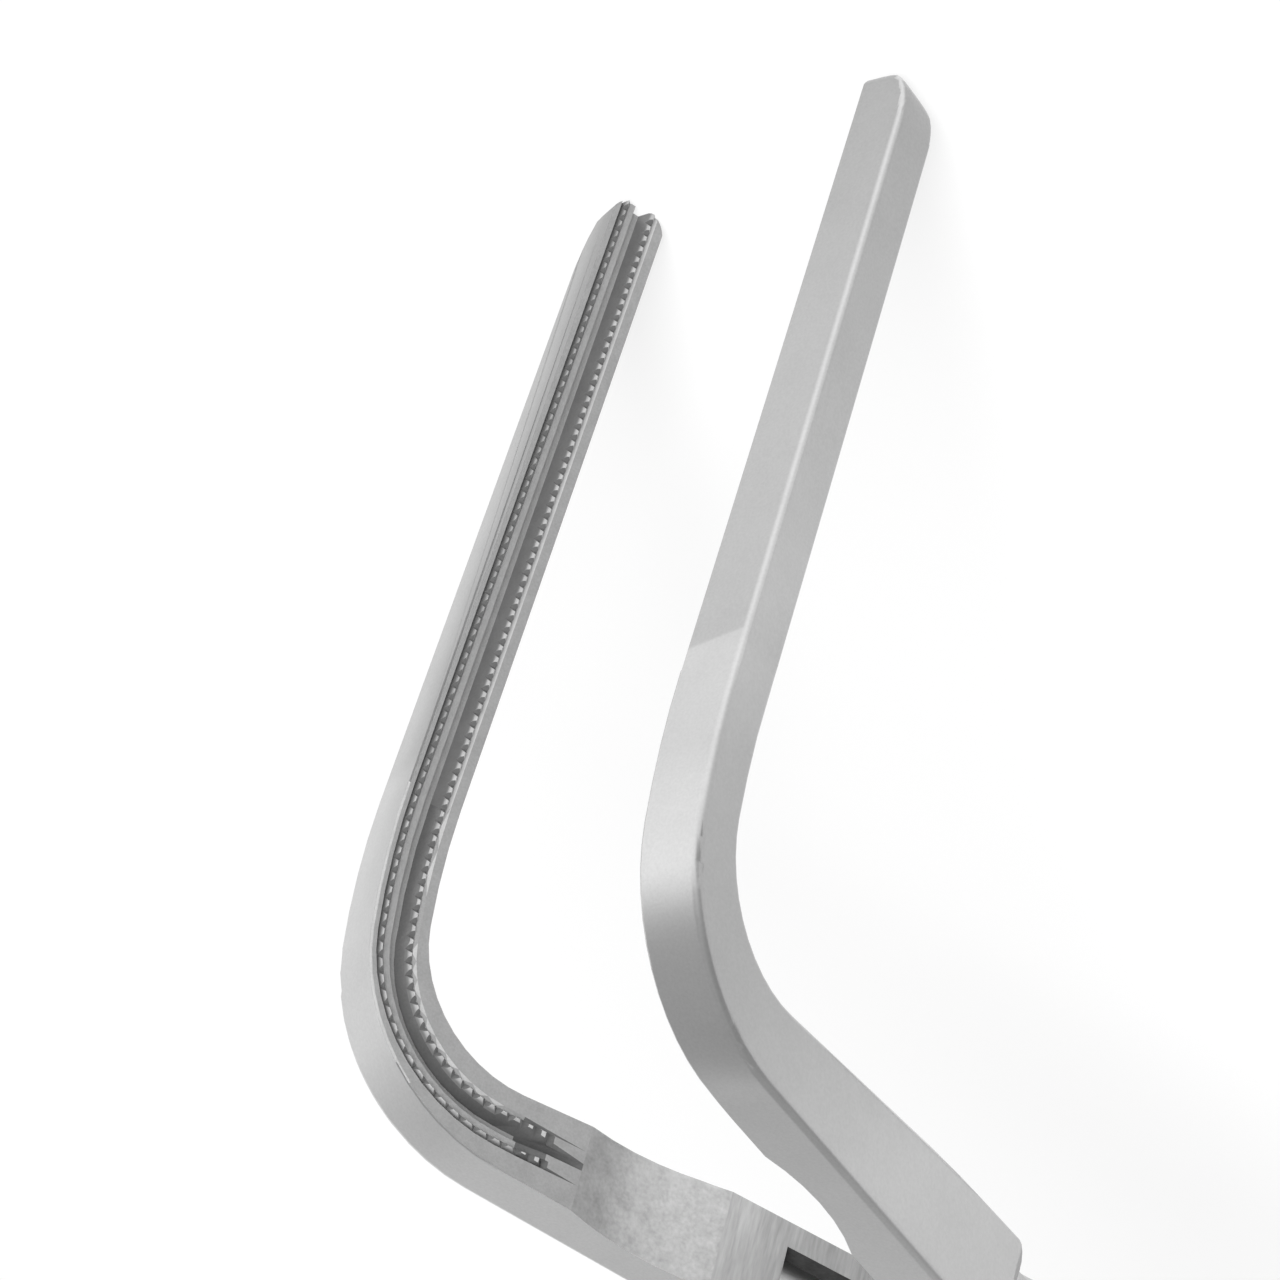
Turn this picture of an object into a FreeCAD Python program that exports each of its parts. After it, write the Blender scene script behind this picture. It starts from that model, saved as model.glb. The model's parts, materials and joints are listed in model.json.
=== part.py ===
import FreeCAD, Part
import math
import os
from FreeCAD import Placement, Rotation, Vector

# Ring-handled bulldog clamp with long jaws bent square to the handles.
# Each arm is drawn closed: X runs from the pivot to the jaws, Y is the closing
# direction and Z is the pivot axis, up which the jaws rise. The jaw faces meet
# on the plane Y = 0. At the end the arms are swung open and laid down.

# How the clamp lies
OPEN_EACH = 12.6            # each arm, from the closed plane
FLIP = 180.0                # jaws turned down for resting on tips and rings

# Centre line of an arm, from the pivot to the jaw tip
SHANK = 22.6                # pivot to the start of the bend
BEND_RADIUS = 5.15
BEND_ANGLE = 82.7
SWEEP_RADIUS = 31.5
SWEEP_ANGLE = 9.9
JAW = 26.3                  # straight length of the jaw

# Bar of an arm
JAW_WIDTH = 2.05
SHANK_WIDTH = 3.66          # along the pivot axis
FLARE_AT = 15.0             # distance from the pivot where the shank is full
FLARE_INSIDE = 3.8          # slope of the inner edge from there to the bend
FLARE_OUTSIDE = 2.4
INNER_SWEEP = 1.4           # turn by which the inner edge's bend starts later
JAW_DEPTH = 2.2             # from the gripping face to the back
TAPER = 25.0                # length of jaw over which the back comes down
TIP_DEPTH = 1.98            # depth where the tip starts to round
TIP_END_DEPTH = 1.0
TIP_ROUND = 2.8             # length of the rounded back at the tip
TIP_CORNER = 0.95           # from the tip to the corner that the round is drawn from
TIP_CROWN = 0.75            # rise of the tip arc across the jaw
TIP_SLANT = 0.3
BACK_FILLET = 0.3
JAW_GAP = 0.1               # between the two faces when closed

# Toothed face: offsets across the face, positive on the inside of the bend
TEETH_END = 19.4            # distance from the pivot where the face stops
RUN_OUT = 2.4               # length over which the grooves fade out
ROW_DEPTH = 0.22
ROW_LEFT = -0.573
ROW_RIGHT = 0.494
LAND_LEFT = -0.80
LAND_RIGHT = 0.67
ROW_HALF = 0.15
GROOVE_LEFT = -0.20
GROOVE_DEPTH = 0.5
GROOVE_FLOOR = 0.26
GROOVE_DRAFT = 0.06         # how far its left wall leans
GROOVE_LIP = 0.09           # from the row's crest to the top of the right wall
GROOVE_LIP_DEPTH = 0.05
OUTER_FOOT = 0.08           # depth of the hollow outside the right row
ROW_CENTRE = -0.04          # single row of the other jaw
ROW_PROUD = 0.2
SIDE_GROOVE_DEPTH = 0.15
PITCH = 0.5
NOTCH_DEPTH = 0.18          # less than a row's height, so that its foot stays whole
NOTCH_HALF = 0.17
FIRST_NOTCH = 0.5           # from the tip

# Relief behind the toothed face
RELIEF_LENGTH = 5.4
RELIEF_DEPTH = 0.45
RELIEF_SETBACK = 0.4        # the passing arm's relief lies nearer the pivot

# Box lock
BOX_RADIUS = 7.4
BOX_HALF_WIDTH = 3.3
BOX_THICK = 4.2
SLOT = 1.9
SLOT_FRONT = 11.6
SLOT_SINK = 0.9             # depth of the slot in the arm's inner side
SLIDE = 0.06                # clearance of the tongue in the slot
TONGUE_HUB = 3.2
SHOULDER_RADIUS = 7.9
PIN_RADIUS = 1.5
PIN_PLAY = 0.05
RIVET_RADIUS = 1.9
RIVET_SINK = 0.4

# Handles
HANDLE_START = 8.0
HANDLE_LAP = 1.5            # how far the handle runs into the box
HANDLE_FLAT = 4.0           # length that keeps the full section
RING_X = 77.0
RING_RADIUS = 10.4          # centre line of the ring
RING_STRAIGHT = 3.0
RING_WIRE = 1.8
RING_GAP = 0.4              # between the rings when closed
RING_SIDES = 12             # flats round the ring's wire
RING_SEAT = 0.6             # how far the shank runs into the ring
RING_MEET = 3.2             # from the ring's middle to where the shank meets it
HANDLE_DEPTH = 2.4
HANDLE_THICK = 3.3
SHANK_ROUND = 1.4           # half size of the slim part of the handle
BEVEL_SHARE = 0.45

# Ratchet
RATCHET_RADIUS = 59.0
RATCHET_WIDTH = 2.6
RATCHET_THICK = 1.5
RATCHET_PLAY = 0.1
RATCHET_PAST = 3.2          # how far a bar passes the middle
RATCHET_TEETH = 3
RATCHET_PITCH = 1.1
RATCHET_CUT = 0.5

X_AXIS = Vector(1, 0, 0)
Y_AXIS = Vector(0, 1, 0)
Z_AXIS = Vector(0, 0, 1)
ORIGIN = Vector(0, 0, 0)
FAR = 40.0                  # longer than any cut needs


def heading(angle):
    """Unit vector along the arm where it has turned by the angle."""
    return Vector(math.cos(angle), 0, math.sin(angle))


def inward(angle):
    """Unit vector across the face, towards the inside of the bend."""
    return Vector(-math.sin(angle), 0, math.cos(angle))


BEND = math.radians(BEND_ANGLE)
TURNED = math.radians(BEND_ANGLE + SWEEP_ANGLE)
BEND_CENTRE = Vector(SHANK, 0, BEND_RADIUS)
BEND_END = BEND_CENTRE - inward(BEND) * BEND_RADIUS
SWEEP_CENTRE = BEND_END + inward(BEND) * SWEEP_RADIUS
SWEEP_END = SWEEP_CENTRE - inward(TURNED) * SWEEP_RADIUS
BEND_LENGTH = BEND_RADIUS * BEND
SWEEP_LENGTH = SWEEP_RADIUS * math.radians(SWEEP_ANGLE)
TIP = SWEEP_END + heading(TURNED) * JAW
ARM_LENGTH = SHANK + BEND_LENGTH + SWEEP_LENGTH + JAW


def on_arm(distance):
    """Point and turned angle of the centre line, measured from the pivot."""
    if distance <= SHANK:
        return Vector(distance, 0, 0), 0.0
    past = distance - SHANK
    if past <= BEND_LENGTH:
        angle = past / BEND_RADIUS
        return BEND_CENTRE - inward(angle) * BEND_RADIUS, angle
    past -= BEND_LENGTH
    if past <= SWEEP_LENGTH:
        angle = BEND + past / SWEEP_RADIUS
        return SWEEP_CENTRE - inward(angle) * SWEEP_RADIUS, angle
    return SWEEP_END + heading(TURNED) * (past - SWEEP_LENGTH), TURNED


def meet_line(start, turned, point, line_angle):
    """Arc from a point where the edge has turned, tangent to a line nearer the pivot."""
    normal = inward(line_angle)
    radius = (start - point).dot(normal) / (1 - math.cos(turned - line_angle))
    middle = (turned + line_angle) / 2
    centre = start + inward(turned) * radius
    end = centre - normal * radius
    return Part.Arc(end, centre - inward(middle) * radius, start).toShape(), end


def long_edge(side):
    """Edges of one long side of the face; side is -1 outside the bend, 1 inside."""
    half_jaw = side * JAW_WIDTH / 2
    half_shank = side * SHANK_WIDTH / 2
    slope = math.radians(FLARE_INSIDE if side > 0 else FLARE_OUTSIDE)
    radius = SWEEP_RADIUS - half_jaw
    start = BEND + (math.radians(INNER_SWEEP) if side > 0 else 0)
    top = SWEEP_END + inward(TURNED) * half_jaw
    low = top + (inward(TURNED) - inward(start)) * radius
    middle = (TURNED + start) / 2
    through = top + (inward(TURNED) - inward(middle)) * radius
    corner = Vector(FLARE_AT, 0, half_shank)
    bend, foot = meet_line(low, start, corner, -side * slope)
    root = Vector(0, 0, half_shank + side * FLARE_AT * math.tan(slope))
    neck = TIP - heading(TURNED) * TIP_CROWN + inward(TURNED) * half_jaw
    return [
        Part.makeLine(root, foot),
        bend,
        Part.Arc(low, through, top).toShape(),
        Part.makeLine(top, neck),
    ], root, neck


def face_outline():
    """Outline of the gripping face, from the pivot to the tip."""
    outside, outer_root, outer_neck = long_edge(-1)
    inside, inner_root, inner_neck = long_edge(1)
    ends = [
        Part.Arc(outer_neck, TIP, inner_neck).toShape(),
        Part.makeLine(inner_root, outer_root),
    ]
    return Part.Face(Part.Wire(Part.__sortEdges__(outside + inside + ends)))


def jaw_side(back, depth):
    """Point in the side view of the straight jaw, measured back from the tip."""
    return TIP - heading(TURNED) * back + Y_AXIS * depth - inward(TURNED) * JAW_WIDTH


def back_cut():
    """What comes off the back of the jaw: its taper and the rounded tip."""
    root = jaw_side(TAPER, JAW_DEPTH)
    taper_end = jaw_side(TIP_ROUND, TIP_DEPTH)
    end = jaw_side(TIP_SLANT, TIP_END_DEPTH)
    nose = Part.BezierCurve()
    nose.setPoles([taper_end, jaw_side(TIP_CORNER, TIP_DEPTH), end])
    front = jaw_side(0, 0)
    out = [jaw_side(-1, 0), jaw_side(-1, 2 * JAW_DEPTH), jaw_side(TAPER, 2 * JAW_DEPTH)]
    edges = [
        Part.makeLine(root, taper_end),
        nose.toShape(),
        Part.makeLine(end, front),
        Part.makeLine(front, out[0]),
        Part.makeLine(out[0], out[1]),
        Part.makeLine(out[1], out[2]),
        Part.makeLine(out[2], root),
    ]
    return Part.Face(Part.Wire(edges)).extrude(inward(TURNED) * (2 * JAW_WIDTH))


def relief(setback):
    """Shallow round hollow between the toothed face and the box lock."""
    half_chord = RELIEF_LENGTH / 2
    radius = (half_chord ** 2 + RELIEF_DEPTH ** 2) / (2 * RELIEF_DEPTH)
    centre = Vector(TEETH_END - setback - half_chord, RELIEF_DEPTH - radius, -FAR / 2)
    return Part.makeCylinder(radius, FAR, centre, Z_AXIS)


def profile_face(points):
    """Flat face across the arm at the pivot, from (offset, depth) points."""
    corners = [Vector(0, depth, offset) for offset, depth in points]
    return Part.Face(Part.makePolygon(corners + corners[:1]))


def along_arm(points, start, overrun, fade=0.0):
    """Solid whose section follows the arm's centre line from start to tip.

    With a fade, the section starts later and its first length rises by that much."""
    face = profile_face(points)
    begin = start + (RUN_OUT if fade else 0)
    face.translate(X_AXIS * begin)
    lead = [face.extrude(Vector(-RUN_OUT, -fade, 0))] if fade else []
    first = face.extrude(X_AXIS * (SHANK - begin))
    face.translate(X_AXIS * (SHANK - begin))
    bend = face.revolve(BEND_CENTRE, Y_AXIS * -1, BEND_ANGLE)
    face.rotate(BEND_CENTRE, Y_AXIS * -1, BEND_ANGLE)
    sweep = face.revolve(SWEEP_CENTRE, Y_AXIS * -1, SWEEP_ANGLE)
    face.rotate(SWEEP_CENTRE, Y_AXIS * -1, SWEEP_ANGLE)
    last = face.extrude(heading(TURNED) * (JAW + overrun))
    return first.fuse(lead + [bend, sweep, last]).removeSplitter()


def notches(low, high, level):
    """V notches across a row, cut down from the level of its crests."""
    cuts = []
    distance = ARM_LENGTH - FIRST_NOTCH
    above = 0.3
    half = NOTCH_HALF * (NOTCH_DEPTH + above) / NOTCH_DEPTH
    while distance > TEETH_END + RUN_OUT / 2:
        centre, angle = on_arm(distance)
        base = centre + inward(angle) * low + Y_AXIS * level
        left = base - heading(angle) * half - Y_AXIS * above
        right = base + heading(angle) * half - Y_AXIS * above
        root = base + Y_AXIS * NOTCH_DEPTH
        face = Part.Face(Part.makePolygon([left, right, root, left]))
        cuts.append(face.extrude(inward(angle) * (high - low)))
        distance -= PITCH
    return cuts


def two_row_face(bar):
    """Two rows of teeth with a deep groove between them."""
    outer_groove = [
        (LAND_LEFT, -1), (LAND_LEFT, 0),
        (ROW_LEFT - ROW_HALF, ROW_DEPTH),
        (ROW_LEFT, 0), (ROW_LEFT, -1),
    ]
    floor_left = GROOVE_LEFT + GROOVE_DRAFT
    middle_groove = [
        (ROW_LEFT, -1), (ROW_LEFT, 0),
        (ROW_LEFT + ROW_HALF, ROW_DEPTH),
        (GROOVE_LEFT, ROW_DEPTH),
        (floor_left, GROOVE_DEPTH),
        (floor_left + GROOVE_FLOOR, GROOVE_DEPTH),
        (ROW_RIGHT - GROOVE_LIP, GROOVE_LIP_DEPTH),
        (ROW_RIGHT, 0), (ROW_RIGHT, -1),
    ]
    inner_groove = [
        (ROW_RIGHT, -1), (ROW_RIGHT, 0),
        (ROW_RIGHT + ROW_HALF / 2, OUTER_FOOT),
        (LAND_RIGHT, 0), (LAND_RIGHT, -1),
    ]
    bar = bar.cut(along_arm(outer_groove, TEETH_END, 1, ROW_DEPTH))
    bar = bar.cut(along_arm(middle_groove, TEETH_END, 1, GROOVE_DEPTH))
    bar = bar.cut(along_arm(inner_groove, TEETH_END, 1, OUTER_FOOT))
    left = notches(ROW_LEFT - ROW_HALF, ROW_LEFT + ROW_HALF, 0)
    right = notches(ROW_RIGHT - 2 * ROW_HALF, ROW_RIGHT + ROW_HALF / 2, 0)
    return bar.cut(left + right)


def one_row_face(bar):
    """One raised row of teeth that enters the other jaw's groove."""
    left, right = ROW_CENTRE - ROW_HALF, ROW_CENTRE + ROW_HALF
    crest = [(left, 0.1), (left, 0), (ROW_CENTRE, -ROW_PROUD), (right, 0), (right, 0.1)]
    row = along_arm(crest, TEETH_END, 0).cut(notches(left, right, -ROW_PROUD))
    keep = face_outline().extrude(Y_AXIS * 2 * ROW_PROUD)
    keep.translate(Y_AXIS * -ROW_PROUD)
    bar = bar.fuse(row.common(keep))
    for centre in (ROW_LEFT, ROW_RIGHT):
        groove = [(centre - ROW_HALF, 0), (centre, SIDE_GROOVE_DEPTH),
                  (centre + ROW_HALF, 0), (centre + ROW_HALF, -1), (centre - ROW_HALF, -1)]
        bar = bar.cut(along_arm(groove, TEETH_END, 1))
    return bar


def long_back_edges(bar):
    """The long edges between the back of the arm and its sides."""
    found = []
    for edge in bar.Edges:
        middle = edge.valueAt((edge.FirstParameter + edge.LastParameter) / 2)
        beside = abs((middle - SWEEP_END).dot(inward(TURNED)))
        if edge.BoundBox.YMin > TIP_END_DEPTH and middle.x > 0 and beside > BACK_FILLET:
            if edge.Length > 2 * TIP_CROWN and abs(edge.tangentAt(edge.FirstParameter).y) < 0.5:
                found.append(edge)
    return found


def jaw_bar(setback):
    """Bar of one arm from the pivot to the tip, body on the +Y side."""
    bar = face_outline().extrude(Y_AXIS * JAW_DEPTH)
    bar = bar.cut(back_cut())
    bar = bar.makeFillet(BACK_FILLET, long_back_edges(bar))
    top = Part.makeBox(FLARE_AT, FAR, FAR, Vector(0, -FAR / 2, SHANK_WIDTH / 2))
    return bar.cut([top, relief(setback)])


def bevelled(point, half_y, half_z):
    """Eight-sided wire square to X: a flat bar with broad bevels."""
    flat_y, flat_z = half_y * BEVEL_SHARE, half_z * BEVEL_SHARE
    quarter = [(half_y, flat_z), (flat_y, half_z)]
    corners = []
    for sign_y, sign_z, order in ((1, 1, 1), (-1, 1, -1), (-1, -1, 1), (1, -1, -1)):
        for y, z in quarter[::order]:
            corners.append(point + Vector(0, sign_y * y, sign_z * z))
    return Part.makePolygon(corners + corners[:1])


def ring_centre():
    return Vector(-RING_X, RING_RADIUS + RING_WIRE + RING_GAP / 2, 0)


def ring_section():
    """Many-sided section of the ring's wire, at the front of the ring."""
    step = 2 * math.pi / RING_SIDES
    corners = []
    for i in range(RING_SIDES):
        angle = (i + 0.5) * step
        corners.append(Vector(0, RING_RADIUS + RING_WIRE * math.cos(angle), RING_WIRE * math.sin(angle)))
    return Part.Face(Part.makePolygon(corners + corners[:1]))


def ring():
    """Finger ring: two half circles and two straights."""
    section = ring_section()
    front = section.revolve(ORIGIN, Z_AXIS, -180)
    front.translate(X_AXIS * (RING_STRAIGHT / 2))
    section.translate(X_AXIS * (-RING_STRAIGHT / 2))
    side = section.extrude(X_AXIS * RING_STRAIGHT)
    whole = front.fuse([half_turn(front, Z_AXIS), side, half_turn(side, Z_AXIS)])
    whole.translate(ring_centre())
    return whole.removeSplitter()


def handle():
    """Handle behind the box lock on the +Y side: shank and finger ring."""
    face = JAW_GAP / 2
    ring_front = ring_centre() + Vector(RING_RADIUS + RING_STRAIGHT / 2 - RING_SEAT, -RING_MEET, 0)
    start = Vector(HANDLE_LAP - HANDLE_START, face + HANDLE_DEPTH / 2, 0)
    first = Vector(-HANDLE_START - HANDLE_FLAT, face + HANDLE_DEPTH / 2, 0)
    span = ring_front - first
    stations = [
        (start, HANDLE_DEPTH / 2, HANDLE_THICK / 2),
        (first, HANDLE_DEPTH / 2, HANDLE_THICK / 2),
        (first + Vector(span.x * 0.3, span.y * 0.17, 0), SHANK_ROUND, SHANK_ROUND),
        (first + Vector(span.x * 0.6, span.y * 0.46, 0), SHANK_ROUND, SHANK_ROUND),
        (first + Vector(span.x * 0.85, span.y * 0.80, 0), SHANK_ROUND, SHANK_ROUND),
        (ring_front, RING_WIRE, RING_WIRE * 0.9),
    ]
    shank = Part.makeLoft([bevelled(*station) for station in stations], True, True)
    return shank.fuse(ring())


def ratchet():
    """Ratchet bar of the +Y handle: reaches over the middle, above Z = 0."""
    inner = RATCHET_RADIUS - RATCHET_WIDTH / 2
    outer = RATCHET_RADIUS + RATCHET_WIDTH / 2
    base = Vector(0, 0, RATCHET_PLAY)
    hoop = Part.makeCylinder(outer, RATCHET_THICK, base, Z_AXIS)
    hoop = hoop.cut(Part.makeCylinder(inner, RATCHET_THICK, base, Z_AXIS))
    reach = ring_centre().y - RING_MEET - SHANK_ROUND
    window = Part.makeBox(FAR, reach + RATCHET_PAST, FAR,
                          Vector(-RATCHET_RADIUS - FAR / 2, -RATCHET_PAST, -FAR / 2))
    bar = hoop.common(window)
    cuts = []
    for i in range(RATCHET_TEETH):
        foot = -RATCHET_PAST + RATCHET_PITCH * (i + 0.4)
        points = [(foot, 0), (foot + RATCHET_PITCH * 0.8, 0), (foot, RATCHET_CUT)]
        corners = [Vector(-FAR * 2, y, RATCHET_PLAY + z) for y, z in points]
        face = Part.Face(Part.makePolygon(corners + corners[:1]))
        cuts.append(face.extrude(X_AXIS * FAR))
    return bar.cut(cuts)


def half_turn(shape, axis):
    turned = shape.copy()
    turned.rotate(ORIGIN, axis, 180)
    return turned


def mirrored(shape):
    """The same shape on the other side of the closing plane."""
    return shape.mirror(ORIGIN, Y_AXIS)


def box_plate(radius, half_wide, thick):
    """Plate of the box lock round the pivot."""
    base = Vector(0, 0, -thick / 2)
    disc = Part.makeCylinder(radius, thick, base, Z_AXIS)
    trim = Part.makeBox(2 * radius, 2 * half_wide, thick, Vector(-radius, -half_wide, -thick / 2))
    return disc.common(trim)


def quadrant(reach, start, height):
    """Block in front of the pivot, beyond Y = start."""
    return Part.makeBox(reach, FAR, height, Vector(0, start, -height / 2))


def slot_space():
    """Space that the tongue swings in, cut from the box arm."""
    front = quadrant(SLOT_FRONT, -SLOT_SINK, SLOT)
    rear = half_turn(front, Z_AXIS)
    hub = Part.makeCylinder(TONGUE_HUB + SLIDE, SLOT, Vector(0, 0, -SLOT / 2), Z_AXIS)
    return front.fuse([rear, hub]).removeSplitter()


def box_arm():
    """Arm with two rows of teeth and the slotted box; jaw on the -Y side."""
    jaw = two_row_face(jaw_bar(0))
    jaw.translate(Y_AXIS * (JAW_GAP / 2))
    jaw = mirrored(jaw)
    body = jaw.fuse([handle(), box_plate(BOX_RADIUS, BOX_HALF_WIDTH, BOX_THICK), ratchet()])
    body = body.cut(slot_space())
    return body.cut(pin_shape()).removeSplitter()


def tongue():
    """Thin middle of the passing arm, inside the slot."""
    thick = SLOT - 2 * SLIDE
    reach = SHOULDER_RADIUS + 1
    low = SLIDE - SLOT_SINK
    front = Part.makeBox(reach, JAW_DEPTH - low, thick, Vector(0, low, -thick / 2))
    rear = half_turn(front, Z_AXIS)
    hub = Part.makeCylinder(TONGUE_HUB, thick, Vector(0, 0, -thick / 2), Z_AXIS)
    return front.fuse([rear, hub]).removeSplitter()


def passing_arm():
    """Arm with one row of teeth that passes through the box; jaw on +Y."""
    jaw = one_row_face(jaw_bar(RELIEF_SETBACK))
    jaw.translate(Y_AXIS * (JAW_GAP / 2))
    back = mirrored(handle())
    clear = Part.makeCylinder(SHOULDER_RADIUS, FAR, Vector(0, 0, -FAR / 2), Z_AXIS)
    bar = half_turn(ratchet(), X_AXIS)
    body = jaw.fuse([back]).cut(clear).fuse([tongue(), bar])
    hole = Part.makeCylinder(PIN_RADIUS + PIN_PLAY, FAR, Vector(0, 0, -FAR / 2), Z_AXIS)
    return body.cut(hole).removeSplitter()


def pin_shape():
    """Riveted pivot pin, flush with both cheeks of the box."""
    half = BOX_THICK / 2
    shaft = Part.makeCylinder(PIN_RADIUS, BOX_THICK, Vector(0, 0, -half), Z_AXIS)
    heads = []
    for side in (-1, 1):
        foot = Vector(0, 0, side * (half - RIVET_SINK))
        heads.append(Part.makeCone(PIN_RADIUS, RIVET_RADIUS, RIVET_SINK, foot, Z_AXIS * side))
    return shaft.fuse(heads).removeSplitter()


def lay_angle():
    """Tilt that brings the jaw tips and the backs of the rings level."""
    turn = math.radians(OPEN_EACH)
    tip_x = TIP.x * math.cos(turn)
    back = RING_X + RING_RADIUS + RING_STRAIGHT / 2
    ring_x = -back * math.cos(turn) - ring_centre().y * math.sin(turn)
    dx, dz = tip_x - ring_x, TIP.z
    return math.atan2(dz, dx) - math.asin(RING_WIRE / math.hypot(dx, dz))


def lie(shape, swing):
    """Swing an arm open, turn the jaws down and tilt the clamp to rest."""
    laid = shape.copy()
    laid.rotate(ORIGIN, Z_AXIS, swing)
    laid.rotate(ORIGIN, X_AXIS, FLIP)
    laid.rotate(ORIGIN, Y_AXIS, -math.degrees(lay_angle()))
    return laid


def stand(shapes):
    """Move the clamp so that it rests on Z = 0 with its box centred on the origin."""
    boxes = [shape.optimalBoundingBox(False, False) for shape in shapes]
    low_x = min(box.XMin for box in boxes)
    high_x = max(box.XMax for box in boxes)
    low_y = min(box.YMin for box in boxes)
    high_y = max(box.YMax for box in boxes)
    floor = min(box.ZMin for box in boxes)
    shift = Vector(-(low_x + high_x) / 2, -(low_y + high_y) / 2, -floor)
    for shape in shapes:
        shape.translate(shift)
    return shift


def clamp():
    """The three pieces as they lie at rest, by name, and where the pivot went."""
    pieces = {
        "box_arm": lie(box_arm(), -OPEN_EACH),
        "passing_arm": lie(passing_arm(), OPEN_EACH),
        "pivot_pin": lie(pin_shape(), -OPEN_EACH),
    }
    pivot = stand(list(pieces.values()))
    return pieces, pivot


def main():
    os.makedirs("parts", exist_ok=True)
    for name, shape in clamp()[0].items():
        shape.exportStep("parts/" + name + ".step")


main()
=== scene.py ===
# %% [markdown]
# # A ring-handled bulldog clamp
# This file dresses a small surgical clamp. Its long jaws are bent square to the
# handles, and each jaw is a bar of stainless steel with fine teeth. The solid
# shapes come from the imported part, so this file adds what steel needs to look
# real: softened edges, smooth handles, and a satin finish that changes from one
# surface to the next, with light and shade painted into some of its greys.

import json
import math

import bmesh
import bpy
from mathutils import Matrix, Vector


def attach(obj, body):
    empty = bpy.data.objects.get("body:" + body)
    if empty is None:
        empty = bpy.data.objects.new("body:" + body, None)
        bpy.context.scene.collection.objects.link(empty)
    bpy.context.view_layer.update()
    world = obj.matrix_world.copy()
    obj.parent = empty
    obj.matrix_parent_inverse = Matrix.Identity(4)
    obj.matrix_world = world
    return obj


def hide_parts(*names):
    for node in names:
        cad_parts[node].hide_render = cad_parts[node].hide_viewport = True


MM = 0.001
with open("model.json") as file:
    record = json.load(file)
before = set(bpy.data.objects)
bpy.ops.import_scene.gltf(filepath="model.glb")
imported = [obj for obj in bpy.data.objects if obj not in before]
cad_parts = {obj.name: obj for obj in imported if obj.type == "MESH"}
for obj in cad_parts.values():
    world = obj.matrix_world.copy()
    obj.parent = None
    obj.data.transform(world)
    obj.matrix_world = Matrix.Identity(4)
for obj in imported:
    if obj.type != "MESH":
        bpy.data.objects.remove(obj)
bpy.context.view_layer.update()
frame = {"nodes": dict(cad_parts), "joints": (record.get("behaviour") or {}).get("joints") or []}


def let_go():
    """Deselect everything, because an operator acts on all that is selected."""
    for item in bpy.context.selected_objects:
        item.select_set(False)


let_go()
print("nodes:", sorted(frame["nodes"]))

# %% [markdown]
# The clamp lies with its arms open, its jaws turned down, and it is tilted until
# jaw tips and rings touch the table. An arm is easier to think about closed and
# level, as it is drawn: X runs from the pivot to the jaws, Y is the closing
# direction, and the jaws rise up the pivot axis Z. One matrix for each arm takes
# a drawn point to its place in the resting clamp, and its inverse brings it back.

# %% Find the pose of each arm
joint = frame["joints"][0]
PIVOT = Vector(joint["pos_m"])
AXIS = Vector(joint["axis"])
HALF_OPEN = math.radians(12.6)


def arm_pose(swing):
    """Matrix from an arm as it is drawn to the arm as it lies."""
    tilt = math.asin(AXIS.x)
    turn_down = Matrix.Rotation(math.pi, 4, "X")
    lay = Matrix.Rotation(-tilt, 4, "Y")
    return Matrix.Translation(PIVOT) @ lay @ turn_down @ Matrix.Rotation(swing, 4, "Z")


POSES = {"box_arm": arm_pose(-HALF_OPEN), "passing_arm": arm_pose(HALF_OPEN)}
POSES["pivot_pin"] = POSES["box_arm"]
print("pivot at", [round(v / MM, 2) for v in PIVOT], "mm")

# %% [markdown]
# Borders between finishes and the edges to round are easy to name by how far
# along the arm they are, how far across it, and how deep below the gripping face.
# The arm's centre line is a straight shank, a tight bend, a wide sweep and a
# straight jaw, so three short cases turn a drawn point into such a place.

# %% Measure a place along the arm
SHANK = 22.6
BEND_RADIUS = 5.15
BEND = math.radians(82.7)
SWEEP_RADIUS = 31.5
TURNED = math.radians(92.6)
JAW = 26.3
HALF_GAP = 0.05
SIDES = {"box_arm": -1, "passing_arm": 1}


def heading(angle):
    return Vector((math.cos(angle), math.sin(angle)))


def inward(angle):
    return Vector((-math.sin(angle), math.cos(angle)))


BEND_CENTRE = Vector((SHANK, BEND_RADIUS))
BEND_END = BEND_CENTRE - inward(BEND) * BEND_RADIUS
SWEEP_CENTRE = BEND_END + inward(BEND) * SWEEP_RADIUS
SWEEP_END = SWEEP_CENTRE - inward(TURNED) * SWEEP_RADIUS
SWEEP_FROM = SHANK + BEND_RADIUS * BEND
JAW_FROM = SWEEP_FROM + SWEEP_RADIUS * (TURNED - BEND)
ARM_LENGTH = JAW_FROM + JAW


def arm_place(point, side):
    """Distance along, offset across, depth below the face, and angle turned."""
    flat = Vector((point.x, point.z))
    depth = point.y * side - HALF_GAP
    past = (flat - SWEEP_END).dot(heading(TURNED))
    if past >= 0:
        return JAW_FROM + past, (flat - SWEEP_END).dot(inward(TURNED)), depth, TURNED
    if (flat - BEND_END).dot(heading(BEND)) >= 0:
        arm = flat - SWEEP_CENTRE
        angle = math.atan2(arm.x, -arm.y)
        return SWEEP_FROM + SWEEP_RADIUS * (angle - BEND), SWEEP_RADIUS - arm.length, depth, angle
    if flat.x >= SHANK:
        arm = flat - BEND_CENTRE
        angle = math.atan2(arm.x, -arm.y)
        return SHANK + BEND_RADIUS * angle, BEND_RADIUS - arm.length, depth, angle
    return flat.x, flat.y, depth, 0.0


print("arm length", round(ARM_LENGTH, 2), "mm")

# %% [markdown]
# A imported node's mesh is a heap of loose triangles. A copy of it is merged into
# one skin, and its flat patches are dissolved into single faces. Then bevels find
# only the real edges, and not the lines between two triangles.

# %% Copy a node as one clean skin
MERGE = 0.0015 * MM
FLAT = math.radians(0.6)


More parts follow.
